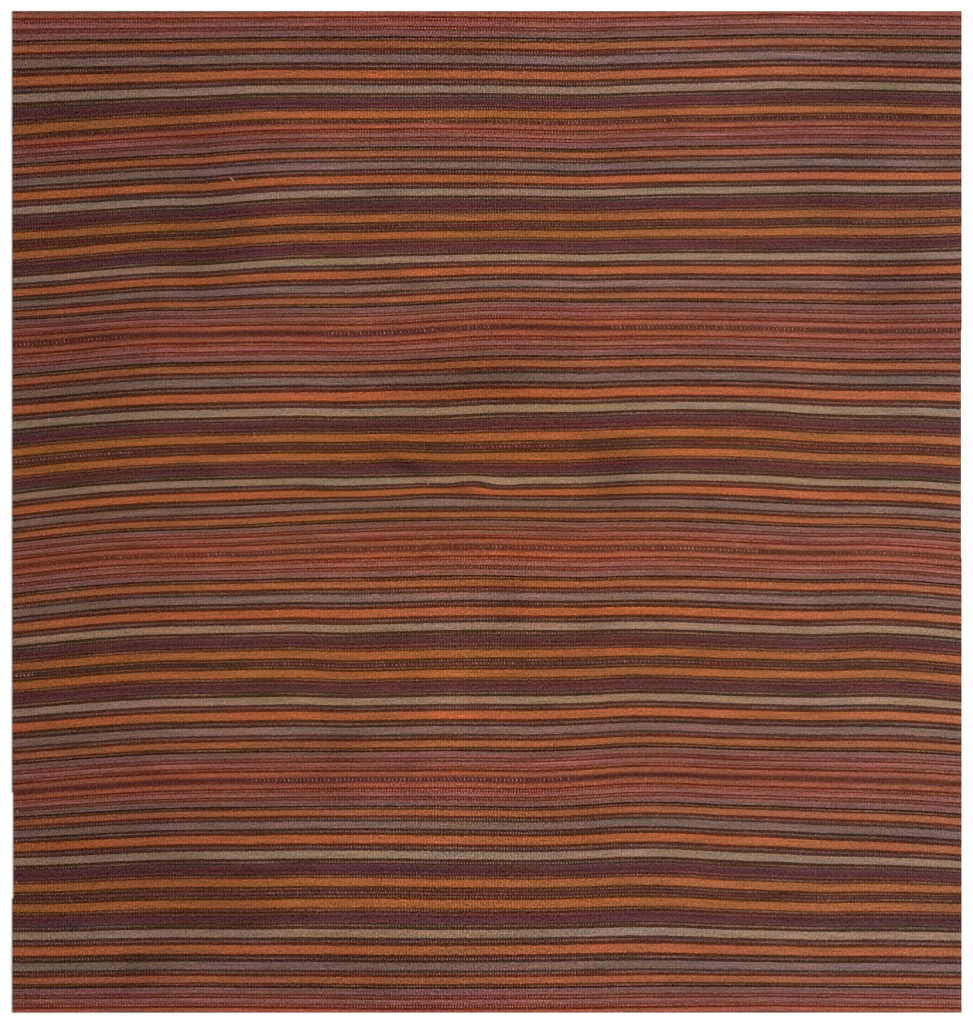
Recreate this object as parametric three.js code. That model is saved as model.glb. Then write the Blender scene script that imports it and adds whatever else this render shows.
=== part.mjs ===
// Striped kilim rug laid flat: nine narrow warp-faced strips sewn edge to edge.
// Millimetres, +Z up. X runs along the stripes and +Y points to the rug's far edge.
// The origin is on the floor, under the middle of the rug.

import * as THREE from 'three';

// Size of the whole rug
const LENGTH_ALONG_STRIPES = 1780;
const WIDTH_ACROSS_STRIPS = 1878;
const CLOTH_THICKNESS = 2.4;
const SEWING_GAP = 0.3;

// Fineness of each strip's mesh
const STEPS_ALONG = 60;
const STEPS_ACROSS = 7;

// Joins between neighbouring strips, from the far edge to the near edge.
// from_far_edge: the join's distance from the far edge where the strips run straight.
// sway: how far the join drifts towards the near edge, at each twentieth of the length
// from the left end.
const JOINS = [
  {
    name: 'join_1',
    from_far_edge: 209,
    sway: [31, 24, 18, 12, 7, 1, -1, -1, -1, -2, -2, 0, 1, -2, -5, -6, -8, -10, -10, -9, -8],
  },
  {
    name: 'join_2',
    from_far_edge: 402,
    sway: [38, 32, 25, 19, 17, 10, 5, 4, 2, 1, 0, -1, 0, -2, -4, -4, -5, -7, -6, -7, -10],
  },
  {
    name: 'join_3',
    from_far_edge: 594,
    sway: [33, 27, 19, 13, 12, 10, 10, 11, 9, 3, -2, -2, 0, -1, -1, 0, 2, 4, 6, 5, 4],
  },
  {
    name: 'join_4',
    from_far_edge: 813,
    sway: [33, 24, 17, 12, 9, 7, 5, 5, 3, 6, 4, 2, 1, -3, -5, -4, -1, 5, 7, 8, 13],
  },
  {
    name: 'join_5',
    from_far_edge: 1008,
    sway: [35, 25, 17, 13, 11, 9, 5, 2, 0, -3, -4, -2, 0, -1, -1, 2, 6, 8, 7, 11, 18],
  },
  {
    name: 'join_6',
    from_far_edge: 1221,
    sway: [26, 19, 12, 7, 6, 4, 3, 7, 5, 3, 2, 2, 1, -2, -1, 2, 4, 6, 3, 6, 14],
  },
  {
    name: 'join_7',
    from_far_edge: 1438,
    sway: [27, 20, 14, 9, 6, 5, 4, 3, 3, 2, 3, 4, 0, -6, -6, -2, 0, 2, 4, 6, 11],
  },
  {
    name: 'join_8',
    from_far_edge: 1653,
    sway: [11, 10, 6, 3, 2, 2, 0, 0, 0, 2, 2, 2, 0, -3, -2, 3, 6, 9, 8, 9, 11],
  },
];

// Strips, from the far edge to the near edge.
// short_left, short_right: how much the weaver cut this strip short of the rug's straight ends.
// brick_side: the side on which the strip's brick-red edge lies.
const STRIPS = [
  { name: 'strip_1', brick_side: 'far', short_left: 0, short_right: 0 },
  { name: 'strip_2', brick_side: 'far', short_left: 0, short_right: 0 },
  { name: 'strip_3', brick_side: 'near', short_left: 0, short_right: 0 },
  { name: 'strip_4', brick_side: 'far', short_left: 0, short_right: 1 },
  { name: 'strip_5', brick_side: 'near', short_left: 0, short_right: 1 },
  { name: 'strip_6', brick_side: 'far', short_left: 0, short_right: 0 },
  { name: 'strip_7', brick_side: 'near', short_left: 0, short_right: 0 },
  { name: 'strip_8', brick_side: 'far', short_left: 2, short_right: 0 },
  { name: 'strip_9', brick_side: 'near', short_left: 0, short_right: 0 },
];

// Folds that still lift the cloth off the floor. Each is a soft ridge.
// x, y: its middle. turn: degrees from +X. half_length, half_width, height: its size.
const FOLDS = [
  { name: 'middle_fold_far', x: 21, y: 620, turn: 90, half_length: 310, half_width: 46, height: 1.6 },
  { name: 'middle_fold_near', x: 5, y: -300, turn: 90, half_length: 520, half_width: 50, height: 1.0 },
  { name: 'left_fold', x: -623, y: 355, turn: 87, half_length: 250, half_width: 46, height: 1.8 },
  { name: 'right_fold', x: 739, y: 706, turn: 90, half_length: 165, half_width: 48, height: 1.0 },
  { name: 'far_fold', x: -500, y: 690, turn: 80, half_length: 150, half_width: 44, height: 0.9 },
  { name: 'pucker', x: -150, y: 104, turn: -34, half_length: 115, half_width: 42, height: 3.4 },
  { name: 'pucker_end', x: -36, y: 46, turn: -11, half_length: 100, half_width: 40, height: 3.2 },
  { name: 'left_crease', x: -500, y: 60, turn: -30, half_length: 110, half_width: 42, height: 1.6 },
  { name: 'long_crease', x: -290, y: 20, turn: -3, half_length: 190, half_width: 40, height: 1.5 },
  { name: 'slanting_crease', x: -190, y: 400, turn: 19, half_length: 180, half_width: 44, height: 1.2 },
];

// Colour, roughness and metalness of the wool as it shows from a step away
const WOOL = { far: 0x74452f, near: 0x6f4030, roughness: 0.95, metalness: 0 };

// Catmull-Rom curve through evenly spaced values, for 0 <= share <= 1
function smoothThrough(values, share) {
  const spans = values.length - 1;
  const place = THREE.MathUtils.clamp(share, 0, 1) * spans;
  const span = Math.min(Math.floor(place), spans - 1);
  const t = place - span;
  const from = values[span];
  const to = values[span + 1];
  const before = span > 0 ? values[span - 1] : 2 * from - to;
  const after = span < spans - 1 ? values[span + 2] : 2 * to - from;
  const bend = 2 * before - 5 * from + 4 * to - after;
  const twist = 3 * from - before - 3 * to + after;
  return 0.5 * (2 * from + (to - before) * t + bend * t * t + twist * t * t * t);
}

// The y of a join at this x, with +Y towards the far edge
function joinY(join, x) {
  const share = x / LENGTH_ALONG_STRIPES + 0.5;
  return WIDTH_ACROSS_STRIPS / 2 - join.from_far_edge - smoothThrough(join.sway, share);
}

// How far one fold lifts the cloth at x, y: a soft ridge that ends in flat cloth
function liftOfFold(fold, x, y) {
  const turn = THREE.MathUtils.degToRad(fold.turn);
  const along = (x - fold.x) * Math.cos(turn) + (y - fold.y) * Math.sin(turn);
  const across = (y - fold.y) * Math.cos(turn) - (x - fold.x) * Math.sin(turn);
  const u = Math.min(Math.abs(along / fold.half_length), 1);
  const v = Math.min(Math.abs(across / fold.half_width), 1);
  return fold.height * (1 - u * u) ** 2 * (1 - v * v) ** 2;
}

// Height of the cloth's underside above the floor
function lift(x, y) {
  return FOLDS.reduce((highest, fold) => Math.max(highest, liftOfFold(fold, x, y)), 0);
}

// The far and near edges of strip number index at this x, clear of the sewing gap
function stripEdges(index, x) {
  const half = SEWING_GAP / 2;
  const first = index === 0;
  const last = index === STRIPS.length - 1;
  return {
    far: first ? WIDTH_ACROSS_STRIPS / 2 : joinY(JOINS[index - 1], x) - half,
    near: last ? -WIDTH_ACROSS_STRIPS / 2 : joinY(JOINS[index], x) + half,
  };
}

// One strip: a box of cloth, bent to its two joins and lifted over the folds
function stripMesh(strip, index) {
  const geometry = new THREE.BoxGeometry(1, 1, 1, STEPS_ALONG, STEPS_ACROSS, 1);
  const point = geometry.attributes.position;
  const left = -LENGTH_ALONG_STRIPES / 2 + strip.short_left;
  const right = LENGTH_ALONG_STRIPES / 2 - strip.short_right;
  for (let i = 0; i < point.count; i += 1) {
    const x = THREE.MathUtils.lerp(left, right, point.getX(i) + 0.5);
    const edges = stripEdges(index, x);
    const y = THREE.MathUtils.lerp(edges.near, edges.far, point.getY(i) + 0.5);
    const z = lift(x, y) + CLOTH_THICKNESS * (point.getZ(i) + 0.5);
    point.setXYZ(i, x, y, z);
  }
  geometry.computeVertexNormals();
  const material = new THREE.MeshStandardMaterial({
    color: WOOL[strip.brick_side],
    roughness: WOOL.roughness,
    metalness: WOOL.metalness,
  });
  const mesh = new THREE.Mesh(geometry, material);
  mesh.name = strip.name;
  return mesh;
}

const rug = new THREE.Group();
STRIPS.forEach((strip, index) => {
  rug.add(stripMesh(strip, index));
});

export default rug;
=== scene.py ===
# %% [markdown]
# A striped kilim rug, laid flat.
# The real rug is nine long, narrow strips of wool cloth. All nine were cut from one warp, so they
# carry the same stripes, and they were sewn together edge to edge by hand. The camera looks
# straight down on it. This lesson builds the rug in the order in which such a rug is made: first
# the place where it lies, then the cloth of the strips, the colours of the warp, the sewing, and
# last the marks that years of use have left, with shade and haze painted in among them.

# %% Load the frame
import math

import bpy
import numpy as np
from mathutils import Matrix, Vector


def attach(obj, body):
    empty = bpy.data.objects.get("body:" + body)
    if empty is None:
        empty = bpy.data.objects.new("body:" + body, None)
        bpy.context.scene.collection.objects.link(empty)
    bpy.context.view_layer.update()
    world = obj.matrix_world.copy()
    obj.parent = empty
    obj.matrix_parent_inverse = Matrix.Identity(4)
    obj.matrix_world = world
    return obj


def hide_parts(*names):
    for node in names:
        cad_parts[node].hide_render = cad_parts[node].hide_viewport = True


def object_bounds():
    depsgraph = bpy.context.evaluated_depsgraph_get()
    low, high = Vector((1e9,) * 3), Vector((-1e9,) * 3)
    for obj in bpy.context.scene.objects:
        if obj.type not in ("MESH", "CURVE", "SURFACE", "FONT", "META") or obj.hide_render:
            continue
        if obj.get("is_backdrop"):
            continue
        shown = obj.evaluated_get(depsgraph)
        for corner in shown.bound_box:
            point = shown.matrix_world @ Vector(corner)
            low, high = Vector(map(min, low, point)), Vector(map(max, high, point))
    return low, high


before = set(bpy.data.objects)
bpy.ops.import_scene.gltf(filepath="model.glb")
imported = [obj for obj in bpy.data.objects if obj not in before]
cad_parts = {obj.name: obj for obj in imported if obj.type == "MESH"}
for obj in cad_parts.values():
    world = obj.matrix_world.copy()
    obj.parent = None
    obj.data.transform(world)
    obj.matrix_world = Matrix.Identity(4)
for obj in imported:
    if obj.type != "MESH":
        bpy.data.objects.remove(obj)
cad_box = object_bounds()
strip_names = sorted(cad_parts)
print("strips in the frame:", len(strip_names))
print("box of the frame, metres:", [round(v, 4) for corner in cad_box for v in corner])

# %% [markdown]
# The camera.
# A photograph taken from high above a rug shows no perspective. A camera could be orthographic,
# but a long lens is closer to the real thing: six metres up, looking straight down, with the
# focal length worked out from the width of cloth that the picture's long side takes in.

# %% Camera straight above
CAMERA_HEIGHT = 6.0
CLOTH_TOP = 0.0024
PICTURE_LONG_SIDE = 1.9196
SENSOR = 36.0
CAMERA_X, CAMERA_Y = -0.0010, -0.0003

camera_data = bpy.data.cameras.new("camera")
camera_data.sensor_width = SENSOR
camera_data.lens = SENSOR * (CAMERA_HEIGHT - CLOTH_TOP) / PICTURE_LONG_SIDE
camera_data.clip_end = 100
camera = bpy.data.objects.new("camera", camera_data)
camera.location = (CAMERA_X, CAMERA_Y, CAMERA_HEIGHT)
bpy.context.scene.collection.objects.link(camera)
bpy.context.scene.camera = camera
print("focal length, mm:", round(camera_data.lens, 1))

# %% [markdown]
# Floor and light.
# The rug lies on a plain white floor. The photograph's light is soft and comes more from the
# right: the right end is lighter and a little hazy, and the creases are dark on their left sides.
# One large lamp on the right, well away so that it doesn't fall off too fast, gives most of that,
# and the white surroundings fill the shadows. The rest is painted into the wool: shade in the
# creases, a darker left end and a hazier right end.

# %% Floor, lamp and surroundings
FLOOR_HALF = 6.0
FLOOR_LEVEL = -0.0003
FLOOR_WHITE = (0.93, 0.93, 0.93)
LAMP_PLACE = (5.2, 0.6, 4.4)
LAMP_SIZE = 2.4
LAMP_POWER = 440.0
SURROUND_STRENGTH = 0.67


def plain_material(name, colour, roughness):
    """A material with one colour, for the floor."""
    material = bpy.data.materials.new(name)
    material.use_nodes = True
    shader = material.node_tree.nodes["Principled BSDF"]
    shader.inputs["Base Color"].default_value = (*colour, 1)
    shader.inputs["Roughness"].default_value = roughness
    return material


bpy.ops.object.select_all(action="DESELECT")
bpy.ops.mesh.primitive_plane_add(size=2 * FLOOR_HALF, location=(0, 0, FLOOR_LEVEL))
floor = bpy.context.object
floor.name = "floor"
floor.data.materials.append(plain_material("white floor", FLOOR_WHITE, 0.9))
floor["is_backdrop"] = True

lamp_data = bpy.data.lights.new("lamp", "AREA")
lamp_data.shape = "SQUARE"
lamp_data.size = LAMP_SIZE
lamp_data.energy = LAMP_POWER
lamp = bpy.data.objects.new("lamp", lamp_data)
lamp.location = LAMP_PLACE
lamp_x, lamp_y, lamp_z = LAMP_PLACE
lamp_tilt = math.atan2(math.hypot(lamp_x, lamp_y), lamp_z)
lamp.rotation_euler = (0, lamp_tilt, math.atan2(lamp_y, lamp_x))
lamp.visible_camera = False
bpy.context.scene.collection.objects.link(lamp)

world = bpy.data.worlds.new("surroundings")
world.use_nodes = True
background = world.node_tree.nodes["Background"]
background.inputs["Color"].default_value = (1, 1, 1, 1)
background.inputs["Strength"].default_value = SURROUND_STRENGTH
bpy.context.scene.world = world
bpy.context.scene.view_settings.view_transform = "Standard"
print("lamp tilt, degrees:", round(math.degrees(lamp_tilt), 1))

# %% [markdown]
# Where the strips meet.
# The joins drift, because hand-sewn strips never lie quite straight. The frame already has each
# strip's outline, so the cloth takes it from there: the highest and lowest y of each strip, at
# every step along it. From here on, sizes are in millimetres unless a comment says metres.

# %% Outlines from the frame
# in metres: points this close along the strip are at one step of it
SAME_STEP = 2e-5
HALF_LENGTH = cad_box[1][0] * 1000


def outline_of(node):
    """The steps along a strip, and the y of its far and near edge at each, in metres."""
    count = len(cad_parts[node].data.vertices)
    places = np.empty(count * 3)
    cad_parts[node].data.vertices.foreach_get("co", places)
    places = places.reshape(-1, 3)
    steps = np.unique(places[:, 0].round(5))
    at_step = [places[abs(places[:, 0] - x) < SAME_STEP, 1] for x in steps]
    far = np.array([values.max() for values in at_step])
    near = np.array([values.min() for values in at_step])
    return steps, far, near


outlines = {name: outline_of(name) for name in strip_names}
for name, (steps, far, near) in outlines.items():
    print(name, "width from", round((far - near).min(), 3), "to", round((far - near).max(), 3))

# %% [markdown]
# Soft marks.
# Folds, creases, stains and drifts all have a place, a direction and a size, so one helper serves
# them all. Each could be a drawn curve, but a row in a table is easier to read and to change. A
# mark is strongest in its middle and fades to nothing at its edge.

# %% Soft marks
def soft_mark(x, y, mark):
    """How much of a mark is felt at x, y: its last column in its middle and 0 outside it."""
    _, middle_x, middle_y, turn, half_length, half_width, strength = mark
    angle = math.radians(turn)
    along = (x - middle_x) * math.cos(angle) + (y - middle_y) * math.sin(angle)
    across = (y - middle_y) * math.cos(angle) - (x - middle_x) * math.sin(angle)
    u = np.clip(abs(along / half_length), 0, 1)
    v = np.clip(abs(across / half_width), 0, 1)
    return strength * (1 - u * u) ** 2 * (1 - v * v) ** 2


def strongest(marks, x, y):
    """The strongest of these marks at x, y."""
    return np.maximum.reduce([soft_mark(x, y, mark) for mark in marks])


def together(marks, x, y):
    """All of these marks at x, y, added up."""
    return sum(soft_mark(x, y, mark) for mark in marks)


trial_mark = ("trial", 0, 0, 0, 100, 100, 1.0)
print("a mark half way out keeps", soft_mark(50, 0, trial_mark), "of its strength")

# %% [markdown]
# Folds and creases.
# The folds are the same as the solid strips have: low ridges left from when the rug was folded.
# The creases are narrow and only dent the top. A cloth simulation could make both, but they are
# only a few millimetres high, and a table puts each where the photograph shows it.

# %% Folds and creases
# name, x, y, turn in degrees, half length, half width, height
FOLDS = [
    ("middle fold, far", 21, 620, 90, 310, 46, 1.6),
    ("middle fold, near", 5, -300, 90, 520, 50, 1.0),
    ("left fold", -623, 355, 87, 250, 46, 1.8),
    ("right fold", 739, 706, 90, 165, 48, 1.0),
    ("far fold", -500, 690, 80, 150, 44, 0.9),
    ("pucker", -150, 104, -34, 115, 42, 3.4),
    ("pucker end", -36, 46, -11, 100, 40, 3.2),
    ("left crease", -500, 60, -30, 110, 42, 1.6),
    ("long crease", -290, 20, -3, 190, 40, 1.5),
    ("slanting crease", -190, 400, 19, 180, 44, 1.2),
]

# name, x, y, turn in degrees, half length, half width, depth
CREASES = [
    ("left line", -624, 354, 87, 260, 8, 0.55),
    ("far left line", -527, 720, 90, 90, 8, 0.35),
    ("middle line", 10, 540, 90, 210, 8, 0.35),
    ("middle line, near", 0, -260, 90, 600, 9, 0.15),
    ("short line", 167, 584, 90, 70, 7, 0.4),
    ("right line", 739, 706, 90, 160, 8, 0.35),
    ("pucker trough", -150, 86, -34, 80, 10, 1.2),
    ("pucker trough, end", -60, 44, -12, 80, 9, 1.3),
    ("left crease trough", -515, 66, -32, 80, 9, 0.6),
    ("long trough", -330, 38, 4, 110, 8, 0.5),
    ("long trough, end", -210, 18, -8, 90, 8, 0.5),
    ("slanting trough", -190, 406, 19, 170, 10, 0.4),
    ("upper slanting trough", -265, 589, 11, 130, 10, 0.3),
    ("small line", -101, 139, 80, 24, 7, 0.5),
]


def lift(x, y):
    """Height of the cloth's underside above the floor."""
    return strongest(FOLDS, x, y)


def dent(x, y):
    """How far the creases dent the top of the cloth."""
    return strongest(CREASES, x, y)


print("folds:", len(FOLDS), "the highest", max(fold[-1] for fold in FOLDS), "mm")
print("creases:", len(CREASES), "the deepest", max(crease[-1] for crease in CREASES), "mm")

# %% [markdown]
# Soiling, painted shade and yellowing.
# Years of use have left stains and worn light places, and the middle of the rug has yellowed. The
# same table also paints shade into the creases and the pucker, a highlight on the pucker's top, and
# a darker left end where the lamp's light falls off. They could be painted on, but then they would
# be hard to move or weaken, so they are soft marks too. A share below 0 makes a place lighter.

# %% Soiling, painted shade and yellowing
# name, x, y, turn in degrees, half length, half width, share of light that stains, dirt and painted
# shade take away
STAINS_AND_PAINTED_SHADE = [
    # painted shade along the crease lines, with some dirt in them
    ("left crease line", -624, 354, 87, 260, 9, 0.10),
    ("far left line", -527, 720, 90, 80, 9, 0.05),
    ("middle line", 12, 640, 90, 110, 9, 0.08),
    ("short line", 167, 584, 90, 66, 8, 0.09),
    ("right line", 739, 706, 90, 150, 8, 0.05),
    # painted shade in the pucker's troughs
    ("pucker", -152, 84, -30, 84, 14, 0.23),
    ("pucker end", -70, 46, -8, 84, 10, 0.20),
    # darker places by the right edge
    ("outermost right corner", 830, 890, 0, 270, 110, 0.12),
    ("near right edge", 840, -750, 0, 210, 90, 0.08),
    # painted shade along the pucker's ridge and below it, and a painted highlight on its top
    ("dark line of the pucker", -9, 52, -12, 38, 7, 0.24),
    ("shade below the pucker", -38, 36, 0, 34, 9, 0.24),
    ("painted highlight on the pucker top", -15, 43, -12, 26, 8, -0.26),
    # painted shade along the creases, with some dirt in them
    ("left crease", -515, 66, -32, 90, 12, 0.12),
    ("long crease", -330, 38, 4, 120, 11, 0.12),
    ("long crease end", -210, 16, -6, 110, 12, 0.12),
    ("slanting crease", -190, 406, 19, 170, 14, 0.09),
    # stains and blots
    ("blot by the far middle", -192, 603, 15, 70, 40, 0.23),
    ("its tail", -300, 580, 15, 110, 20, 0.07),
    ("blot on the middle fold", 26, 575, 0, 60, 22, 0.09),
    ("blot right of the fold", 255, 660, -20, 80, 45, 0.15),
    ("broad patch", -50, 240, 0, 170, 120, 0.09),
    ("its darkest place", 40, 248, 0, 65, 50, 0.13),
    ("patch right of the pucker", 240, 66, 90, 110, 85, 0.26),
    ("patch below the middle", 36, -165, 80, 80, 55, 0.23),
    ("spot below it", 196, -205, 30, 55, 50, 0.21),
    ("near spot", -265, -430, 10, 60, 34, 0.21),
    ("near line", -370, -437, 2, 110, 16, 0.14),
    ("left near spot", -612, -500, 5, 80, 28, 0.12),
    ("right patch", 740, 452, 10, 150, 50, 0.10),
    ("far right patch", 627, 580, -35, 120, 70, 0.19),
    ("spot by the left crease", -480, 134, 10, 60, 40, 0.21),
    # painted shade: the lamp's light falling off towards the left end
    ("darker left end", -900, 0, 90, 4000, 520, 0.15),
    # broad places made darker, and a few made lighter
    ("left side, near", -770, -480, 90, 420, 210, 0.03),
    ("left side, far", -770, 330, 90, 330, 190, 0.10),
    ("far left corner", -720, 760, 0, 260, 190, 0.10),
    ("left fold's flank", -520, 490, 90, 140, 120, 0.11),
    ("near left patch", -520, -760, 5, 190, 60, 0.05),
    ("near left corner", -640, -850, 15, 120, 60, 0.19),
    ("darker right end", 800, 40, 0, 260, 40, 0.08),
    ("worn light corner", 790, 655, 0, 110, 90, -0.08),
    ("worn light middle", -60, -300, 80, 170, 60, -0.11),
    ("far right corner", 760, 760, 0, 260, 200, 0.21),
    ("right side, far", 790, 430, 90, 300, 180, 0.22),
    ("far left quarter", -520, 600, 90, 260, 170, 0.16),
    ("light beyond the middle", 130, 440, 0, 420, 110, -0.05),
    ("above the pucker", -40, 245, 0, 330, 90, 0.12),
    ("left of the middle", -150, 120, 0, 170, 90, 0.13),
    ("right of the middle", 190, 120, 0, 130, 90, 0.07),
    ("light below the middle", 0, -125, 0, 980, 100, -0.11),
    ("left side, low", -640, -640, 0, 330, 120, 0.14),
    ("near left quarter", -500, -760, 0, 220, 130, 0.15),
    ("near edge, left", -250, -870, 0, 330, 120, 0.13),
    ("near middle", -60, -440, 90, 260, 100, -0.12),
    ("far edge", -200, 860, 0, 560, 110, 0.09),
    ("left of the near middle", -315, -500, 0, 120, 90, 0.14),
    ("left end, far", -820, 620, 90, 230, 120, -0.02),
    ("right side, near", 730, -640, 0, 260, 110, 0.09),
]

# name, x, y, turn in degrees, half length, half width, how much yellower
WARM_PLACES = [
    ("yellowed middle", 50, -80, 0, 1700, 1000, 1.25),
    ("most yellowed", -100, -20, 0, 1300, 260, 0.5),
]
COOLEST = -0.8


def soil_and_shade(x, y):
    """The share of light that stains, dirt and painted shade take away at x, y."""
    return together(STAINS_AND_PAINTED_SHADE, x, y)


def warmth(x, y):
    """How yellow the wool has become: from COOLEST at the edges to about 0.9."""
    return together(WARM_PLACES, x, y) + COOLEST


print("stained, worn and painted-shade places:", len(STAINS_AND_PAINTED_SHADE))
print("warmth in the middle:", round(float(warmth(0, 0)), 2))

# %% [markdown]
# The cloth of one strip.
# A strip could be a plane with a Solidify modifier, but its edges would be square. Woven edges are
# round, so the sheet is made as a grid of points: top and underside share their points along the
# border, and the thickness grows from nothing there as a half circle does. Between the joins the
# cloth is never quite even, so a few long, shallow waves are added. At a join the stitches draw
# the two edges together, so that no floor shows between them, and pull them down.

# %% Steps, waves and faces of a sheet
EDGE_STEPS = np.array([0.0, 0.25, 0.8, 1.6])
JOIN_STEPS = np.array([0.0, 0.25, 0.8, 1.6, 3.2, 5.4])
WAVE_COUNT = 26
WAVE_FLATNESS = 1500
waves = np.random.default_rng(7)
WAVE_LENGTHS = waves.uniform(34, 150, WAVE_COUNT)
WAVE_TURNS = waves.uniform(0, math.pi, WAVE_COUNT)
WAVE_PHASES = waves.uniform(0, 2 * math.pi, WAVE_COUNT)


def grid_steps(length, cell, start_steps, end_steps):
    """Distances from one edge to the other: fine steps at both edges and even ones between."""
    first, last = start_steps[-1], length - end_steps[-1]
    even = np.linspace(first, last, round((last - first) / cell) + 1)
    return np.concatenate([start_steps[:-1], even, length - end_steps[-2::-1]])


def unevenness(x, y):
    """Long shallow waves of hand-woven cloth, about a fifth of a millimetre high."""
    total = 0
    for length, turn, phase in zip(WAVE_LENGTHS, WAVE_TURNS, WAVE_PHASES):
        way = x * math.cos(turn) + y * math.sin(turn)
        total = total + length / WAVE_FLATNESS * np.sin(2 * math.pi * way / length + phase)
    return total


def quads(grid, turned=False):
    """The faces of a grid of point numbers, facing up, or down if turned."""
    corners = [grid[:-1, :-1], grid[:-1, 1:], grid[1:, 1:], grid[1:, :-1]]
    if turned:
        corners.reverse()
    return np.stack(corners, axis=-1).reshape(-1, 4)


print("longest wave in the cloth, mm:", round(WAVE_LENGTHS.max()))

# %% Heights of a sheet
THICKNESS = 2.3
EDGE_ROUND = 1.3
JOIN_PULL, JOIN_REACH, PULL_RIPPLE = 0.55, 3.0, 0.2
STITCH_PITCH = 3.75
DEEPEST_DENT, HIGHEST_WAVE = 1.2, 0.8


def sheet_heights(x, y, from_end, from_far, from_near, sewn_far, sewn_near):
    """Heights of the sheet's top and underside, from each point's distances to its edges."""
    from_side = np.minimum(from_far, from_near)
    inside = np.clip(np.minimum(from_end, from_side) / EDGE_ROUND, 0, 1)
    half = THICKNESS / 2 * np.sqrt(1 - (1 - inside) ** 2)
    pulled = np.zeros_like(y)
    for sewn, distance in ((sewn_far, from_far), (sewn_near, from_near)):
        if sewn:
            ripple = 1 + PULL_RIPPLE * np.cos(math.pi * x / STITCH_PITCH)
            pulled += JOIN_PULL * ripple * np.exp(-distance / JOIN_REACH)
    soft = inside * (unevenness(x, y) - dent(x, y) - pulled)
    middle = lift(x, y) + THICKNESS / 2
    top = middle + half + np.clip(soft, -half * DEEPEST_DENT, HIGHEST_WAVE)
    return top, middle - half


far_in = np.array([400.0])
top, under = sheet_heights(far_in, far_in, far_in, far_in, far_in, False, False)
print("thickness of plain cloth with its waves, mm:", (top - under).round(2))

# %% Sheet of cloth
CELL_ALONG, CELL_ACROSS = 5.0, 4.8
# how far the stitches draw an edge into the gap
DRAWN_IN = 0.14


def sheet_mesh(name, sewn_far, sewn_near):
    """A closed sheet on the strip's outline. Returns the mesh, and x, y and share across it."""
    steps, far, near = outlines[name]
    steps = steps * 1000
    far = far * 1000 + DRAWN_IN * sewn_far
    near = near * 1000 - DRAWN_IN * sewn_near
    width = float(np.mean(far - near))
    x = steps[0] + grid_steps(steps[-1] - steps[0], CELL_ALONG, EDGE_STEPS, EDGE_STEPS)
    start = JOIN_STEPS if sewn_far else EDGE_STEPS
    end = JOIN_STEPS if sewn_near else EDGE_STEPS
    share = grid_steps(width, CELL_ACROSS, start, end) / width
    far, near = np.interp(x, steps, far)[:, None], np.interp(x, steps, near)[:, None]
    y = far + (near - far) * share[None, :]
    x_grid = np.broadcast_to(x[:, None], y.shape)
    share_grid = np.broadcast_to(share[None, :], y.shape)
    from_end = np.minimum(x_grid - x[0], x[-1] - x_grid)
    top, under = sheet_heights(x_grid, y, from_end, far - y, y - near, sewn_far, sewn_near)

    # the top and the underside share the points of the border
    count_x, count_y = y.shape
    upper = np.arange(count_x * count_y).reshape(count_x, count_y)
    lower = upper.copy()
    inner = (slice(1, -1), slice(1, -1))
    lower[inner] = upper.size + np.arange(lower[inner].size).reshape(count_x - 2, -1)
    top_points = np.stack([x_grid, y, top], axis=-1).reshape(-1, 3)
    under_points = np.stack([x_grid, y, under], axis=-1)[inner].reshape(-1, 3)
    points = np.concatenate([top_points, under_points]) / 1000
    faces = np.concatenate([quads(upper), quads(lower, turned=True)])
    mesh = bpy.data.meshes.new(name)
    mesh.from_pydata(points.tolist(), [], faces.tolist())
    mesh.polygons.foreach_set("use_smooth", np.ones(len(faces), bool))

    def both_sides(grid):
        """A grid's values at the top points and then at the underside's points."""
        return np.concatenate([grid.reshape(-1), grid[inner].reshape(-1)])

    return mesh, [both_sides(grid) for grid in (x_grid, y, share_grid)]


print("cells of cloth, mm:", CELL_ALONG, "by", CELL_ACROSS)

# %% [markdown]
# The order of the stripes.
# A weaver winds the warp by a chart: so many ends of this yarn, then so many of that. The chart
# below starts at the strip's brick-red edge, in millimetres. The cloth is warp-faced: odd and even
# ends come up in turn. A stripe that names one yarn is plain. A stripe that names a pale yarn and a
# dark one shows a row of dots, one at every second weft.

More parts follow.
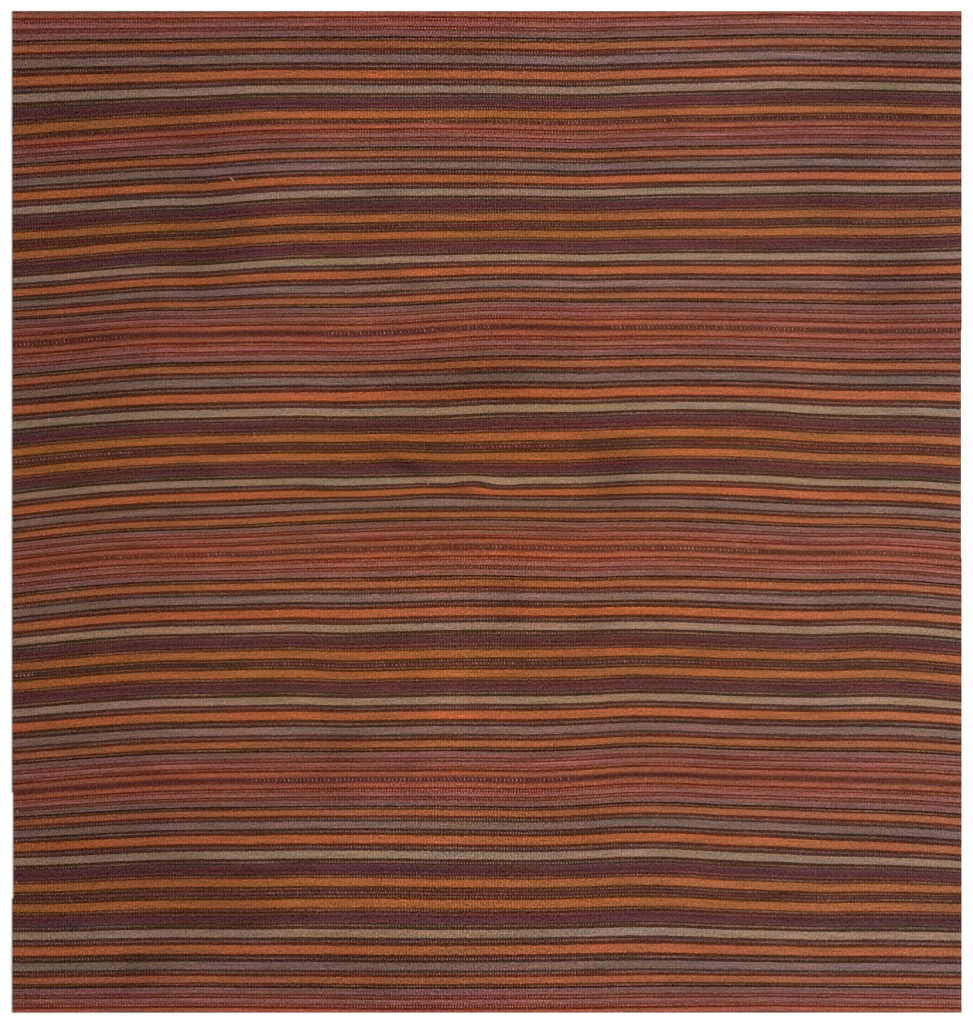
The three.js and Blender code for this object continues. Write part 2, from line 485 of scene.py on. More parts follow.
# %% Yarns of the warp
# red, green and blue, from 0 to 255
YARNS = {
    "seam brown": (90, 42, 31),
    "seam grey": (87, 44, 35),
    # painted shade where the cloth dips into the seam
    "seam rust": (112, 60, 45),
    "brick in painted seam shade": (134, 74, 56),
    "brick": (142, 78, 57),
    "dark red": (94, 35, 18),
    "old red": (87, 38, 25),
    "dull red": (91, 46, 36),
    "pink cream": (144, 91, 75),
    "pale rose": (140, 84, 71),
    "deep rose": (108, 60, 50),
    "rose": (150, 97, 84),
    "mauve rose": (122, 79, 69),
    "old mauve": (102, 63, 55),
    "mauve grey": (114, 79, 69),
    "black": (52, 20, 5),
    "straw": (130, 88, 67),
    "green black": (60, 31, 13),
    "moss black": (66, 39, 23),
    "olive brown": (80, 41, 17),
    "amber": (142, 82, 54),
    "red black": (84, 36, 18),
    "cream": (127, 92, 80),
    "brown black": (65, 32, 20),
    "ash brown": (71, 42, 31),
    "grey black": (63, 35, 26),
    "pale grey": (130, 101, 91),
    "deep grey": (96, 69, 60),
    "rust black": (77, 37, 20),
    "bright orange": (154, 84, 51),
    "rust": (91, 46, 27),
    "burnt brown": (78, 37, 20),
    "beige": (135, 107, 87),
    "light plum": (87, 56, 53),
    "plum": (82, 45, 45),
    "deep plum": (76, 37, 37),
    "warm plum": (105, 63, 57),
    "plum black": (71, 32, 22),
    "gold rust": (90, 43, 16),
    "gold": (147, 84, 47),
}


def linear(colour):
    """A colour of a colour chart, 0 to 255, as the light that Blender works with."""
    shares = [value / 255 for value in colour]
    return tuple(s / 12.92 if s < 0.04045 else ((s + 0.055) / 1.055) ** 2.4 for s in shares)


print("yarns:", len(YARNS), "with rose, as light,", [round(v, 3) for v in linear(YARNS["rose"])])

# %% Warp chart
CHART_WIDTH = 208.0

# where the stripe ends, yarn of the odd ends, yarn of the even ends if it is another
WARP_CHART = [
    (3.6, "seam brown"),
    # painted shade where the cloth dips into the seam
    (6.2, "seam rust"),
    (8.6, "brick in painted seam shade"),
    (13.7, "brick"),
    (17.1, "dark red"),
    (20.9, "pink cream", "dark red"),
    (22.6, "dark red"),
    (26.4, "pale rose", "deep rose"),
    (30.2, "deep rose", "rose"),
    (33.4, "old red"),
    (36.5, "pink cream", "old red"),
    (39.1, "dull red"),
    (43.6, "mauve rose"),
    (45.0, "old mauve"),
    (48.8, "mauve grey"),
    (52.2, "black"),
    (55.2, "straw", "green black"),
    (57.7, "olive brown"),
    (68.8, "amber"),
    (73.4, "red black"),
    (76.7, "cream", "brown black"),
    (81.0, "ash brown"),
    (84.1, "pale grey", "deep grey"),
    (87.2, "deep grey", "pale grey"),
    (90.4, "pale grey", "deep grey"),
    (93.6, "deep grey", "pale grey"),
    (98.7, "grey black"),
    (102.1, "cream", "grey black"),
    (107.3, "rust black"),
    (121.3, "bright orange"),
    (123.4, "rust"),
    (126.9, "burnt brown"),
    (130.6, "cream", "brown black"),
    (135.4, "ash brown"),
    (148.5, "beige"),
    (153.1, "moss black"),
    (156.8, "cream", "grey black"),
    (158.9, "grey black"),
    (161.6, "light plum"),
    (168.0, "plum"),
    (171.8, "deep plum"),
    (175.5, "warm plum", "plum"),
    (178.7, "plum black"),
    (181.9, "straw", "brown black"),
    (183.9, "gold rust"),
    (197.4, "gold"),
    (200.7, "olive brown"),
    (203.8, "straw", "green black"),
    (206.0, "brown black"),
    (208.0, "seam grey"),
]
print("stripes in the chart:", len(WARP_CHART))

# %% [markdown]
# How the stripes drift in a strip.
# The warp's tension varied while the strips were woven and sewn, so the stripes aren't spread
# evenly between the joins. The first table has a few rows for each strip, from its far edge to
# its near edge. A row gives drifts towards the near edge at six places, from the left end to the
# right end. Around the pucker the stripes swerve more sharply, so a second table adds short
# waves there. The cloth's Weave map carries the result: its U is the place along the strip in
# metres, and its V is the place in the chart, from 0 to 1. Some parts were beaten harder and show
# the dots of the weave more clearly, and the last two tables say how much.

# %% Stripe drift
BRICK_SIDE_FAR = ("strip_1", "strip_2", "strip_4", "strip_6", "strip_8")

# rows from the far edge to the near edge, and in each the drifts from left to right
DRIFT = {
    "strip_1": (
        [-3, -3, -6, -2, -9, -5], [-2, -1, -2, 1, -5, -2], [-1, 2, 3, 6, 0, 5],
        [1, 4, 5, 6, 2, 7], [4, 4, 3, 1, 0, 2],
    ),
    "strip_2": (
        [-1, 1, -2, 0, 1, 2], [-1, 2, -1, 2, 2, 5], [-2, 2, -2, 2, 1, 3],
        [-1, 2, -2, 0, -1, 1], [0, 2, 1, 1, 1, 2],
    ),
    "strip_3": (
        [2, -1, 1, 1, 1, 1], [7, 5, 0, 1, 1, 0], [5, 4, -1, -1, 0, 0],
        [-2, 1, -1, -1, 0, 0], [-3, -1, -1, 0, 0, 1],
    ),
    "strip_4": (
        [1, 1, 2, 1, 0, 0], [2, 0, 0, 0, -1, -1], [1, 1, -1, 1, -1, -1],
        [0, 2, 1, 0, -1, 1], [0, -1, 0, 0, 0, 0],
    ),
    "strip_5": (
        [3, 1, 2, 2, 2, 1], [5, 2, 4, 4, 3, 5], [4, 1, -2, -2, 1, 3],
        [2, 1, -5, -3, 0, 1], [1, 0, 0, -1, 0, 0],
    ),
    "strip_6": (
        [0, 1, 1, 2, 1, 1], [0, -2, 0, 2, -2, -1], [1, -1, 0, 0, 1, 0],
        [1, -1, -1, -1, 1, 0], [1, 0, 0, -1, 0, -1],
    ),
    "strip_7": ([1, 0, 1, 1, 1, 1], [0, 0, -1, -1, 0, -2], [1, 0, 0, 0, 0, 0]),
    "strip_8": ([2, 2, 1, 1, 0, 1], [-7, -7, -6, -4, -3, 7], [-2, -2, -1, -1, 0, 0]),
    "strip_9": ([0, 1, 0, 0, 0, -1], [4, 5, 8, 5, 5, 6], [8, 6, 10, 9, 3, 8]),
}

# name, x, y, turn in degrees, half length, half width, drift
WAVES = [
    ("along the pucker", -105, 48, 0, 270, 34, 3.4),
    ("over the pucker", -68, 48, 0, 120, 48, -5.2),
    ("end of the pucker", 28, 49, 0, 46, 21, 2.6),
    ("top of the pucker", -28, 57, 0, 42, 17, -2.2),
    ("dip before it", -81, 51, 0, 40, 16, 2.4),
    ("hump below it", -115, 32, 0, 84, 23, -2.6),
    ("left of the pucker", -270, 47, 0, 95, 23, 2.4),
    ("right of the pucker", 122, 46, 0, 175, 34, 3.2),
    ("above the pucker", -171, 183, 0, 190, 56, 2.4),
    ("left above the pucker", -139, 100, 0, 100, 32, -1.8),
    ("right above the pucker", 110, 93, 0, 110, 30, 1.8),
]
print("rows of drift:", sum(len(rows) for rows in DRIFT.values()), "and waves:", len(WAVES))

# %% Weave map and the other maps
# How clearly the dots of the weave show, at each tenth of the length and in each strip.
CLEAR_ALONG = [0.57, 0.53, 0.32, 0.38, 0.74, 1.00, 0.64, 0.24, 0.20, 0.34, 0.37]
CLEAR_IN_STRIP = [1.55, 1.25, 0.90, 0.63, 0.31, 1.01, 0.62, 1.56, 1.51]
# where the painted sheen haze starts, and the share of colour it greys at the right end
HAZE_STARTS, HAZE_MOST = 100, 0.09
# in metres: keeps U above 0
MAP_START = 2.0


def chart_place(name, x, y, share):
    """Where a point of the strip lies in the warp chart, from 0 to 1, with the drift taken out."""
    drift = together(WAVES, x, y)
    rows = DRIFT[name]
    for number, row in enumerate(rows):
        stations = np.linspace(-HALF_LENGTH, HALF_LENGTH, len(row))
        near_row = np.clip(1 - abs(share * (len(rows) - 1) - number), 0, 1)
        drift = drift + near_row * np.interp(x, stations, row)
    steps, far_edge, near_edge = outlines[name]
    width = np.interp(x, steps * 1000, (far_edge - near_edge) * 1000)
    straight = share - drift / width
    return straight if name in BRICK_SIDE_FAR else 1 - straight


def add_maps(mesh, name, flat):
    """Writes the Weave map, and the soil and painted shade, tint, painted haze and dots of each
    point.
    """
    x, y, share = flat
    corners = np.empty(len(mesh.loops), int)
    mesh.loops.foreach_get("vertex_index", corners)
    weave = np.stack([x / 1000 + MAP_START, chart_place(name, x, y, share)], axis=-1)
    layer = mesh.uv_layers.new(name="Weave")
    layer.data.foreach_set("uv", weave[corners].astype(np.float32).reshape(-1))
    tenths = np.linspace(-HALF_LENGTH, HALF_LENGTH, len(CLEAR_ALONG))
    clear = np.interp(x, tenths, CLEAR_ALONG) * CLEAR_IN_STRIP[strip_names.index(name)]
    painted_haze = np.interp(x, (HAZE_STARTS, HALF_LENGTH), (0, HAZE_MOST))
    maps = {"soil_and_shade": soil_and_shade(x, y), "clear": clear, "warmth": warmth(x, y), "painted_haze": painted_haze}
    for title, values in maps.items():
        marks = mesh.attributes.new(title, "FLOAT", "POINT")
        marks.data.foreach_set("value", values.astype(np.float32))


print("the dots are clearest in strip", 1 + int(np.argmax(CLEAR_IN_STRIP)))

# %% [markdown]
# Nodes in short lines.
# The wool's colour and relief are worked out by many small nodes. They could be placed by hand in
# the node editor, but a few helpers let the script read like a sum.

# %% Node helpers
def new_node(tree, kind, **settings):
    """Adds a shader node with these settings."""
    node = tree.nodes.new("ShaderNode" + kind)
    for key, value in settings.items():
        setattr(node, key, value)
    return node


def feed(tree, socket, value):
    """Links a socket to another node's output, or sets it to a number."""
    if isinstance(value, bpy.types.NodeSocket):
        tree.links.new(value, socket)
    else:
        socket.default_value = value


def calculate(tree, operation, *values):
    """A Math node's result."""
    node = new_node(tree, "Math", operation=operation)
    for socket, value in zip(node.inputs, values):
        feed(tree, socket, value)
    return node.outputs[0]


def times(tree, first, *others):
    """The product of these values."""
    for value in others:
        first = calculate(tree, "MULTIPLY", first, value)
    return first


def between(tree, value, low, high, to_low, to_high, smooth=False):
    """A Map Range node's result, held inside its limits."""
    node = new_node(tree, "MapRange", interpolation_type="SMOOTHSTEP" if smooth else "LINEAR")
    for index, part in enumerate((value, low, high, to_low, to_high)):
        feed(tree, node.inputs[index], part)
    return node.outputs[0]


def vector_of(tree, x, y, z):
    """Three numbers as one vector."""
    node = new_node(tree, "CombineXYZ")
    for socket, value in zip(node.inputs, (x, y, z)):
        feed(tree, socket, value)
    return node.outputs[0]


def split(tree, vector):
    """A vector's three numbers."""
    node = new_node(tree, "SeparateXYZ")
    feed(tree, node.inputs[0], vector)
    return node.outputs


def noise(tree, vector, detail=1.0, roughness=0.5, output="Fac"):
    """A Noise node's value, about 0.5 on average, or its Color, which is three such values."""
    node = new_node(tree, "TexNoise", noise_dimensions="3D")
    feed(tree, node.inputs["Vector"], vector)
    node.inputs["Scale"].default_value = 1.0
    node.inputs["Detail"].default_value = detail
    node.inputs["Roughness"].default_value = roughness
    return node.outputs[output]


def mixed(tree, share, first, second, blend="MIX"):
    """A colour Mix node's result."""
    node = new_node(tree, "Mix", data_type="RGBA", blend_type=blend)
    feed(tree, node.inputs[0], share)
    feed(tree, node.inputs[6], first)
    feed(tree, node.inputs[7], second)
    return node.outputs[2]


trial = bpy.data.materials.new("trial")
trial.use_nodes = True
plain_count = len(trial.node_tree.nodes)
times(trial.node_tree, 2.0, 3.0, 4.0)
print("nodes for a product of three:", len(trial.node_tree.nodes) - plain_count)
bpy.data.materials.remove(trial)

# %% [markdown]
# The finish of wool.
# Wool is dull, with a trace of sheen from its fibres. The strips and the sewing share that finish,
# so one function makes it, and each adds its own colour and its own bumps.

# %% Finish of wool
# in metres
BUMP_HEIGHT = 0.0004


def map_value(tree, title):
    """The number that one of the cloth's maps gives at each point."""
    return new_node(tree, "Attribute", attribute_name=title).outputs["Fac"]


def wool_material(name):
    """A material with the dull finish of wool. Returns it, its node tree and its shader."""
    material = bpy.data.materials.new(name)
    material.use_nodes = True
    shader = material.node_tree.nodes["Principled BSDF"]
    shader.inputs["Roughness"].default_value = 0.85
    shader.inputs["Specular IOR Level"].default_value = 0.02
    shader.inputs["Sheen Weight"].default_value = 0.01
    shader.inputs["Sheen Roughness"].default_value = 0.5
    return material, material.node_tree, shader


def add_bumps(tree, shader, height, strength):
    """Gives the shader bumps from this height map."""
    bump = new_node(tree, "Bump")
    bump.inputs["Strength"].default_value = strength
    bump.inputs["Distance"].default_value = BUMP_HEIGHT
    feed(tree, bump.inputs["Height"], height)
    feed(tree, shader.inputs["Normal"], bump.outputs[0])


print("height of a yarn's bumps, mm:", BUMP_HEIGHT * 1000)

# %% [markdown]
# The warp on the face of the cloth.
# Two colour ramps hold the chart for the odd ends and two for the even ends, because one ramp
# takes no more than 32 colours. A wave along the strip brings odd and even ends up in turn. An
# image of the stripes would be simpler, but it would blur close to, and this stays sharp.

# %% Colours of the chart
FIRST_RAMP = len(WARP_CHART) // 2


def chart_ramp(tree, place, column):
    """The chart's colours for odd ends (column 1) or even ends (column -1), as two ramps."""
    starts = [0.0] + [row[0] / CHART_WIDTH for row in WARP_CHART[:-1]]
    colours = [linear(YARNS[row[column]]) for row in WARP_CHART]
    results = []
    for part in (slice(0, FIRST_RAMP), slice(FIRST_RAMP, None)):
        ramp = new_node(tree, "ValToRGB")
        ramp.color_ramp.interpolation = "CONSTANT"
        stops = ramp.color_ramp.elements
        stops.remove(stops[1])
        for index, (start, colour) in enumerate(zip(starts[part], colours[part])):
            stop = stops[0] if index == 0 else stops.new(start)
            stop.position = start
            stop.color = (*colour, 1)
        feed(tree, ramp.inputs[0], place)
        results.append(ramp.outputs[0])
    later = calculate(tree, "GREATER_THAN", place, starts[FIRST_RAMP])
    return mixed(tree, later, results[0], results[1])


print("stripes in the two ramps:", FIRST_RAMP, "and", len(WARP_CHART) - FIRST_RAMP)

# %% Crossings of odd and even ends
# in metres
WEFT_PAIR = 0.0053
# share of the face that odd ends take on average, and how far that share varies
ODD_SHARE = 0.45
COVER_SWING = 0.36


def face_of_cloth(tree, patches, along, chart):
    """The colours that come up on the face. Also how far the odd ends swing up, and the phase."""
    # the yarns wander a little sideways, and each crossing nudges them, so no stripe is ruled
    crossing = patches(210, 60, 2, detail=0.0)
    wander = between(tree, patches(40, 30, 0, detail=2.0), 0, 1, -0.0042, 0.0042)
    nudge = between(tree, crossing, 0.2, 0.8, -0.002, 0.002)
    place = calculate(tree, "ADD", chart, calculate(tree, "ADD", wander, nudge))

    # odd and even ends take turns on the face, once in every two wefts
    unevenly = times(tree, patches(26, 22, 5), 1.1)
    turns = calculate(tree, "MULTIPLY_ADD", along, 1 / WEFT_PAIR, unevenly)
    phase = times(tree, turns, 2 * math.pi)
    odd_up = between(tree, calculate(tree, "COSINE", phase), -0.3, 0.8, 0.0, 1.0, smooth=True)

    # in places one yarn of the two covers the other, and the dots run together
    openness = between(tree, patches(21, 70, 9), 0.34, 0.66, 0.45, 1.0)
    openness = calculate(tree, "MINIMUM", times(tree, openness, map_value(tree, "clear")), 1.1)
    swing = times(tree, calculate(tree, "SUBTRACT", odd_up, ODD_SHARE), openness)
    least, most = ODD_SHARE - COVER_SWING, ODD_SHARE + COVER_SWING
    cover = between(tree, patches(8, 45, 12, detail=3.0), 0.3, 0.7, least, most)
    odd_share = calculate(tree, "ADD", swing, cover)
    dot_light = between(tree, crossing, 0.35, 0.75, 0.82, 1.40)
    dots = vector_of(tree, dot_light, dot_light, dot_light)
    odd = mixed(tree, 1.0, chart_ramp(tree, place, 1), dots, "MULTIPLY")
    return mixed(tree, odd_share, chart_ramp(tree, place, -1), odd), swing, phase


print("dots in a metre of cloth:", round(1 / WEFT_PAIR))

# %% [markdown]
# Dye, dirt, painted shade and relief.
# Hand-dyed wool is never one colour. Noise, drawn out along the yarn, makes the dye uneven. The
# maps on the cloth's points do the rest: soiling and painted shade darken the wool, the middle of
# the rug has yellowed, and a painted sheen haze greys its right end. The relief of the yarns is too
# fine to model, so it is a bump.

# %% Dye, dirt, painted shade and relief
END_WIDTH = 1.04
# red, green and blue of the loose fibres
FLUFF = (0.066, 0.050, 0.041)
# light and redness of clean wool, and what yellowing does to its colour
CLEAN_LIGHT, CLEAN_RED = 0.98, 1.02
RED_GAINED, BLUE_LOST = 0.02, 0.12


def dyed_and_worn(tree, patches, colour, swing, mottle):
    """The face's colour with its uneven dye, grain, dirt, painted shade and painted sheen haze."""
    # the dye took unevenly, in light and in tint
    light, red, blue = split(tree, patches(3, 8, 1, detail=5.0, roughness=1.0, output="Color"))
    light = between(tree, light, 0.25, 0.75, 0.68, 1.32)
    streaks = between(tree, patches(13, 120, 15), 0.25, 0.75, 0.78, 1.22)

    # hand-spun yarn is mottled, each weft's crossing gets painted shade, and dirt and painted shade
    # darken it
    fibres = calculate(tree, "SUBTRACT", mottle, 0.5)
    strength = calculate(tree, "ADD", map_value(tree, "clear"), 0.65)
    grain = calculate(tree, "MULTIPLY_ADD", fibres, strength, 1.0)
    weft_shade = calculate(tree, "MULTIPLY_ADD", swing, 0.34, 1.0)
    after_soil_and_shade = calculate(tree, "SUBTRACT", CLEAN_LIGHT, map_value(tree, "soil_and_shade"))
    light = times(tree, light, streaks, grain, weft_shade, after_soil_and_shade)

    # the middle of the rug has yellowed, and a painted sheen haze greys the right end
    warm = map_value(tree, "warmth")
    redder = calculate(tree, "MULTIPLY_ADD", warm, RED_GAINED, CLEAN_RED)
    less_blue = calculate(tree, "MULTIPLY_ADD", warm, -BLUE_LOST, 1.0)
    red = times(tree, light, between(tree, red, 0.25, 0.75, 0.62, 1.38), redder)
    blue = times(tree, light, between(tree, blue, 0.25, 0.75, 0.55, 1.45), less_blue)
    dyed = mixed(tree, 1.0, colour, vector_of(tree, red, light, blue), "MULTIPLY")
    # painted sheen haze: towards the right end, where the lamp is, the colour is mixed with grey
    grey = new_node(tree, "RGBToBW")
    feed(tree, grey.inputs[0], dyed)
    hazed = mixed(tree, map_value(tree, "painted_haze"), dyed, grey.outputs[0])

    # loose fibres lie across the stripes and show most on the dark ones
    fluff = [times(tree, fibres, share) for share in FLUFF]
    return mixed(tree, 1.0, hazed, vector_of(tree, *fluff), "ADD")


def relief_of_ends(tree, chart, phase, mottle):
    """Each end is a small ridge that rises over one weft and dips under the next."""
    ends = times(tree, chart, CHART_WIDTH / END_WIDTH)
    ridge = calculate(tree, "ABSOLUTE", calculate(tree, "SINE", times(tree, ends, math.pi)))
    turned = times(tree, calculate(tree, "FLOOR", ends), math.pi)
    up = calculate(tree, "COSINE", calculate(tree, "ADD", phase, turned))
    relief = times(tree, ridge, between(tree, up, -1, 1, 0.35, 1.0))
    return calculate(tree, "MULTIPLY_ADD", mottle, 0.6, relief)


print("ends in the width of a strip:", round(CHART_WIDTH / END_WIDTH))

# %% [markdown]
# The nine strips.
# All nine could share one material, but then the dye would be uneven in the same places. Each
# strip gets its own, and a seed sets where its dye is uneven.

# %% Make the nine strips
def striped_wool(name, seed):
    """The wool of one strip."""
    material, tree, shader = wool_material(name)
    weave = new_node(tree, "UVMap", uv_map="Weave")
    along, chart, _ = split(tree, weave.outputs[0])

    def patches(per_metre, per_width, offset, **settings):
        """Noise with this many patches in a metre of length and in the strip's width."""
        x = times(tree, along, per_metre)
        y = times(tree, chart, per_width)
        return noise(tree, vector_of(tree, x, y, seed + offset), **settings)

    colour, swing, phase = face_of_cloth(tree, patches, along, chart)
    mottle = patches(300, 62, 4)
    colour = dyed_and_worn(tree, patches, colour, swing, mottle)
    feed(tree, shader.inputs["Base Color"], colour)
    add_bumps(tree, shader, relief_of_ends(tree, chart, phase, mottle), 0.5)
    return material


cloths = []
for number, name in enumerate(strip_names):
    mesh, flat = sheet_mesh(name, number > 0, number < len(strip_names) - 1)
    add_maps(mesh, name, flat)
    mesh.materials.append(striped_wool("striped wool " + str(number + 1), 10.0 * number))
    cloth = bpy.data.objects.new("cloth_" + str(number + 1), mesh)
    bpy.context.scene.collection.objects.link(cloth)
    cloths.append(cloth)
print("faces of cloth:", sum(len(cloth.data.polygons) for cloth in cloths))
print("nodes in each wool:", len(cloths[0].data.materials[0].node_tree.nodes))

# %% [markdown]
# The sewing.
# The strips are overcast by hand: the yarn goes over both edges again and again, and each turn
# shows as a short, fat, slanting stitch. All the stitches could be one long curve, but a stitch is
# only seen where it comes over the top, so one stitch is modelled and copied along every join. It
# is a six-sided disc of yarn, spun through an arc, so that both its ends dive into the cloth.

# %% One stitch
# in metres
YARN_RADIUS = 0.0012
YARN_SIDES = 6
STITCH_BEND = 0.0026
STITCH_ARC = math.radians(120)
STITCH_STEPS = 4

start_y = STITCH_BEND * math.sin(STITCH_ARC / 2)
start_z = STITCH_BEND * (math.cos(STITCH_ARC / 2) - 1)
bpy.ops.object.select_all(action="DESELECT")
bpy.ops.mesh.primitive_circle_add(
    vertices=YARN_SIDES, radius=YARN_RADIUS, fill_type="NGON",
    location=(0, start_y, start_z), rotation=(math.pi / 2 - STITCH_ARC / 2, 0, 0))
pattern = bpy.context.object
bpy.ops.object.transform_apply(location=True, rotation=True, scale=True)
bpy.ops.object.mode_set(mode="EDIT")
bpy.ops.mesh.select_all(action="SELECT")
bpy.ops.mesh.spin(
    steps=STITCH_STEPS, angle=-STITCH_ARC, center=(0, 0, -STITCH_BEND), axis=(1, 0, 0))
bpy.ops.mesh.select_all(action="SELECT")
bpy.ops.mesh.remove_doubles(threshold=1e-6)
bpy.ops.mesh.normals_make_consistent(inside=False)
bpy.ops.object.mode_set(mode="OBJECT")
stitch_points = np.array([tuple(point.co) for point in pattern.data.vertices])
stitch_faces = [tuple(face.vertices) for face in pattern.data.polygons]
bpy.data.objects.remove(pattern, do_unlink=True)
stitch_size = stitch_points.max(0) - stitch_points.min(0)
print("one stitch has", len(stitch_faces), "faces and is, in metres:", stitch_size.round(4))

# %% [markdown]
# The sewing yarns.
# Whoever sewed the strips used up what was at hand. The yarn changes from brick to plum, green
# and pink along the joins, and on most of them every second stitch is paler than the one before.
# Each run below names where it ends, in millimetres from the rug's middle, its yarn, and how far
# its second stitches are mixed towards the pale yarn.

# %% Runs of sewing yarn
# red, green and blue, from 0 to 255
SEWING_YARNS = {
    "dark brown": (73, 35, 21),
    "rust brown": (96, 48, 34),
    "red brown": (126, 54, 32),
    "rose": (128, 68, 48),
    "pink": (118, 67, 60),
    "crimson": (108, 46, 44),
    "plum": (101, 60, 54),
    "dark plum": (80, 36, 30),
    "dark green": (68, 46, 38),
    "grey green": (92, 69, 56),
    "pale": (152, 108, 94),
    "slub": (160, 126, 104),
}
SEWING_RUNS = [
    [(-387, "dark brown", .33), (-312, "rust brown", .56), (-128, "dark brown", .32),
     (-77, "rust brown", 1.0), (17, "dark brown", .38), (420, "rust brown", .65),
     (610, "dark brown", .41), (688, "rust brown", .55), (900, "dark brown", .46)],
    [(-623, "dark plum", .23), (-257, "dark green", .18), (-173, "dark plum", .39),
     (-77, "pink", .28), (49, "crimson", .45), (189, "plum", .35), (367, "plum", .29),
     (602, "plum", .18), (683, "dark green", .35), (900, "grey green", .49)],
    [(-668, "dark plum", .61), (-308, "dark plum", .22), (9, "dark plum", .76),
     (232, "dark plum", .10), (602, "rust brown", .70), (728, "rust brown", .40),
     (900, "rust brown", .68)],
    [(-668, "plum", .68), (-623, "dark green", .23), (-173, "plum", .07), (-83, "grey green", .16),
     (7, "plum", .53), (142, "crimson", .68), (187, "plum", .42), (322, "grey green", .24),
     (412, "plum", .08), (773, "rose", .32), (900, "plum", .36)],
    [(-713, "red brown", .23), (-533, "red brown", .50), (-173, "rose", .55),
     (-38, "red brown", .54), (97, "red brown", .71), (510, "rose", .74), (683, "rust brown", .29),
     (900, "rose", .56)],
    [(-848, "plum", .80), (-443, "dark green", .19), (-353, "plum", .33), (-124, "plum", .64),
     (-83, "grey green", .57), (52, "pink", .76), (187, "grey green", .41),
     (412, "grey green", .65), (503, "crimson", .48), (818, "grey green", .20),
     (900, "plum", .26)],
    [(-441, "dark plum", .24), (-353, "dark plum", .87), (142, "dark plum", .98),
     (503, "dark plum", .12), (900, "rust brown", .26)],
    [(-758, "dark green", .38), (-623, "plum", .27), (-443, "plum", .35), (-218, "plum", .56),
     (7, "pink", .39), (52, "pink", .30), (277, "plum", .18), (457, "pink", .00),
     (593, "plum", .00), (638, "grey green", .41), (773, "plum", .19), (900, "plum", .20)],
]
print("runs of yarn:", sum(len(runs) for runs in SEWING_RUNS))

# %% [markdown]
# Sewing wool.
# The sewing yarns could have a material each, but a stitch is mixed from two of them. So each
# stitch keeps its colour on its own points, and one material adds the fibres.

# %% Sewing wool
FIBRES_PER_METRE = 700


def sewing_wool():
    """Loosely twisted yarn. Its colour comes from the stitches themselves."""
    material, tree, shader = wool_material("sewing wool")
    colour = new_node(tree, "Attribute", attribute_name="yarn").outputs["Color"]
    here = new_node(tree, "TexCoord")
    spots = new_node(tree, "Mapping")
    feed(tree, spots.inputs["Vector"], here.outputs["Object"])
    spots.inputs["Scale"].default_value = (FIBRES_PER_METRE,) * 3
    fluff = noise(tree, spots.outputs[0], detail=2.0)
    shade = between(tree, fluff, 0.25, 0.75, 0.75, 1.2)
    fibres = vector_of(tree, shade, shade, shade)
    feed(tree, shader.inputs["Base Color"], mixed(tree, 1.0, colour, fibres, "MULTIPLY"))
    add_bumps(tree, shader, fluff, 0.4)
    return material


sewing_material = sewing_wool()
print("nodes in the sewing wool:", len(sewing_material.node_tree.nodes))

# %% [markdown]
# Sewing the joins.
# Nobody sews quite evenly, so each stitch is a little off in place, turn, size and colour. A
# second stitch is paler by its run's share, and fatter the paler it is. Geometry nodes could place
# the stitches, but a short loop is easier to follow.

# %% Copies of the stitch
def stitched_piece(name, places, turns, sizes, colours):
    """Copies of the stitch as one piece. Places in metres, turns in radians, sizes as shares."""
    points, faces, paints = [], [], []
    for place, turn, size, colour in zip(places, turns, sizes, colours):
        cos, sin = math.cos(turn), math.sin(turn)
        way = np.array([[cos, sin, 0], [-sin, cos, 0], [0, 0, 1]])
        first = len(points) * len(stitch_points)
        points.append(stitch_points * size @ way + place)
        faces.extend(tuple(first + corner for corner in face) for face in stitch_faces)
        paints.extend([(*linear(colour), 1)] * len(stitch_points))
    mesh = bpy.data.meshes.new(name)
    mesh.from_pydata(np.concatenate(points).tolist(), [], faces)
    mesh.polygons.foreach_set("use_smooth", np.ones(len(faces), bool))
    yarn = mesh.attributes.new("yarn", "FLOAT_COLOR", "POINT")
    yarn.data.foreach_set("color", np.array(paints, np.float32).reshape(-1))
    mesh.materials.append(sewing_material)
    piece = bpy.data.objects.new(name, mesh)
    bpy.context.scene.collection.objects.link(piece)
    return piece


print("stitches in a metre of join:", round(1000 / STITCH_PITCH))

# %% Sew the eight joins
STITCH_SLANT = math.radians(24)
TURN_SCATTER = 0.1
SIZE_RANGE, LIGHT_RANGE = (0.86, 1.08), (0.84, 1.12)
PALE_FATTER, PALE_RANGE = 0.25, (0.5, 1.4)
# in metres
STITCH_TOP = 0.0019
END_MARGIN = 0.004
ALONG_SCATTER, ACROSS_SCATTER, HEIGHT_SCATTER = 0.00025, 0.0002, 0.00008
# in millimetres: how far a yarn may run past the end of its run
RUN_SCATTER = 3
hand = np.random.default_rng(21)


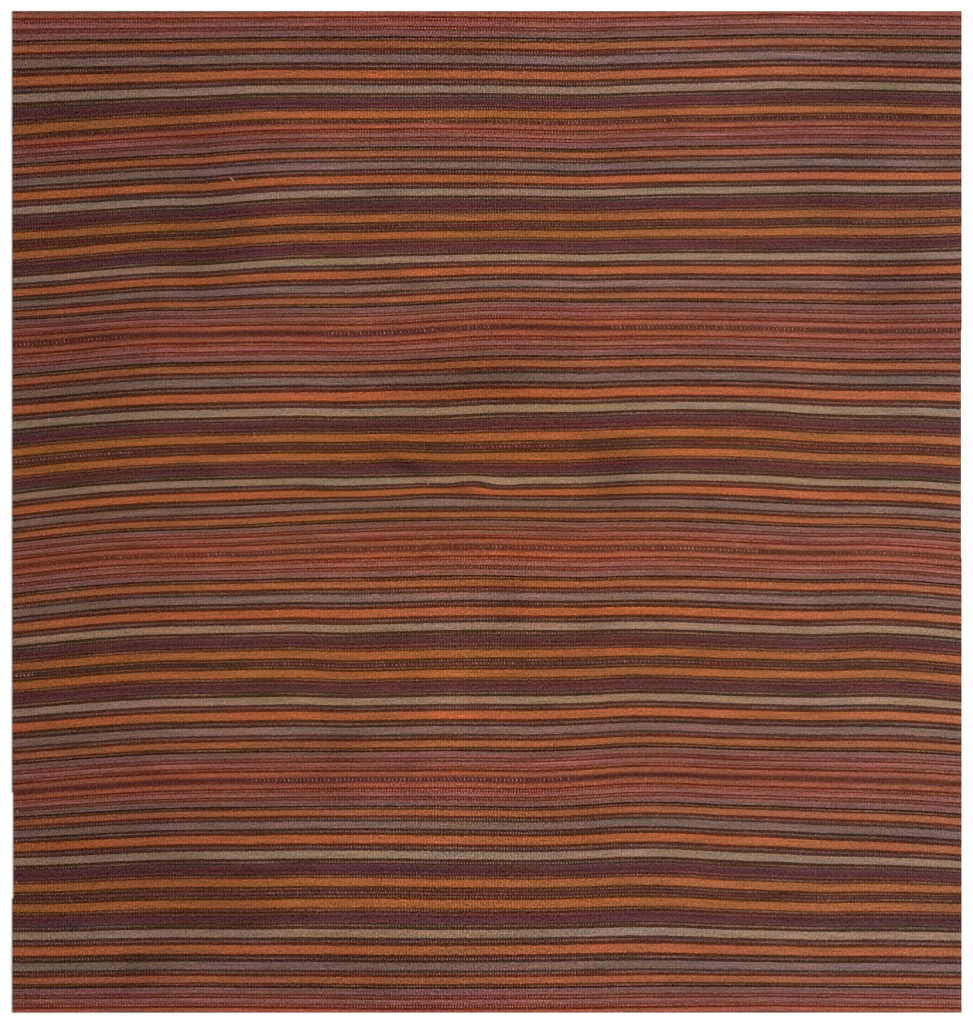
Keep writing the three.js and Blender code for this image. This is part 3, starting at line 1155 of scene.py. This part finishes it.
def sewing(number):
    """The stitches of the join between this strip and the next."""
    steps, _, near = outlines[strip_names[number]]
    _, far, _ = outlines[strip_names[number + 1]]
    runs = SEWING_RUNS[number]
    x = np.arange(steps[0] + END_MARGIN, steps[-1] - END_MARGIN, STITCH_PITCH / 1000)
    x = x + hand.normal(0, ALONG_SCATTER, len(x))
    middle = (np.interp(x, steps, near) + np.interp(x, steps, far)) / 2
    y = middle + hand.normal(0, ACROSS_SCATTER, len(x))
    z = lift(x * 1000, y * 1000) / 1000 + STITCH_TOP + hand.normal(0, HEIGHT_SCATTER, len(x))
    turns = STITCH_SLANT + hand.normal(0, TURN_SCATTER, len(x))
    sizes = np.repeat(hand.uniform(*SIZE_RANGE, (len(x), 1)), 3, axis=1)
    ends = [run[0] for run in runs]
    colours = []
    for count, place in enumerate(x * 1000 + hand.normal(0, RUN_SCATTER, len(x))):
        run = min(int(np.searchsorted(ends, place)), len(runs) - 1)
        _, yarn, pale_share = runs[run]
        pale = min(pale_share * hand.uniform(*PALE_RANGE), 1) * (count % 2)
        sizes[count, 0] *= 1 + PALE_FATTER * pale
        light = hand.uniform(*LIGHT_RANGE)
        pairs = zip(SEWING_YARNS[yarn], SEWING_YARNS["pale"])
        colours.append([min((own + (paler - own) * pale) * light, 255) for own, paler in pairs])
    places = np.stack([x, y, z], axis=-1)
    return stitched_piece("sewing_" + str(number + 1), places, turns, sizes, colours)


seams = [sewing(number) for number in range(len(strip_names) - 1)]
print("faces of sewing:", sum(len(seam.data.polygons) for seam in seams))

# %% [markdown]
# Slubs.
# Hand-spun wool has thick places, and a few of them stand up as pale tufts. They are copies of
# the same arc of yarn, longer and laid where the photograph shows them.

# %% Slubs
# x, y, turn in degrees, size as a share of a stitch
SLUBS = [
    (-479, 624, 45, 1.8), (-437, 147, 20, 0.9), (-687, 111, 80, 0.9), (-784, -144, 70, 0.9),
    (-110, 54, -25, 1.3), (670, -14, 60, 1.3), (544, -31, 80, 0.9), (463, -54, 40, 0.8),
    (685, -463, 75, 0.9), (621, -722, 30, 0.8), (883, -842, 10, 0.8), (-881, -562, 5, 0.9),
    (-882, -618, 10, 0.8), (-884, -669, 0, 0.8), (-882, -695, 5, 0.8),
]
SLUB_SHAPE = (0.7, 1.3, 1.0)
SLUB_LIFT = 0.5
slub_x, slub_y, slub_turn, slub_size = np.array(SLUBS).T
slub_z = lift(slub_x, slub_y) + THICKNESS + SLUB_LIFT
slub_places = np.stack([slub_x, slub_y, slub_z], axis=-1) / 1000
slub_sizes = np.outer(slub_size, SLUB_SHAPE)
slub_colours = [SEWING_YARNS["slub"]] * len(SLUBS)
slubs = stitched_piece("slubs", slub_places, np.radians(slub_turn), slub_sizes, slub_colours)
print("slubs:", len(SLUBS))

# %% [markdown]
# What each piece is.
# The solid strips are hidden, and every sheet of cloth, the sewing of every join and the slubs are
# hung on one root.

for number, (name, cloth) in enumerate(zip(strip_names, cloths)):
    steps, far, near = outlines[name]
    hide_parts(name)
for piece in [*cloths, *seams, slubs]:
    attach(piece, "root")
print("pieces of the rug:", len(cloths) + len(seams) + 1)

# %% [markdown]
# The size.
# The finished rug must fill the same box as the solid strips, so both boxes are gathered, and the
# finished rug's box is printed.

# %% Both sizes, and finish
sizes = {
    "cad": [list(corner) for corner in cad_box],
    "visual": [list(corner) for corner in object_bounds()],
}
finished = [round(v, 4) for corner in sizes["visual"] for v in corner]
print("box of the finished rug, metres:", finished)
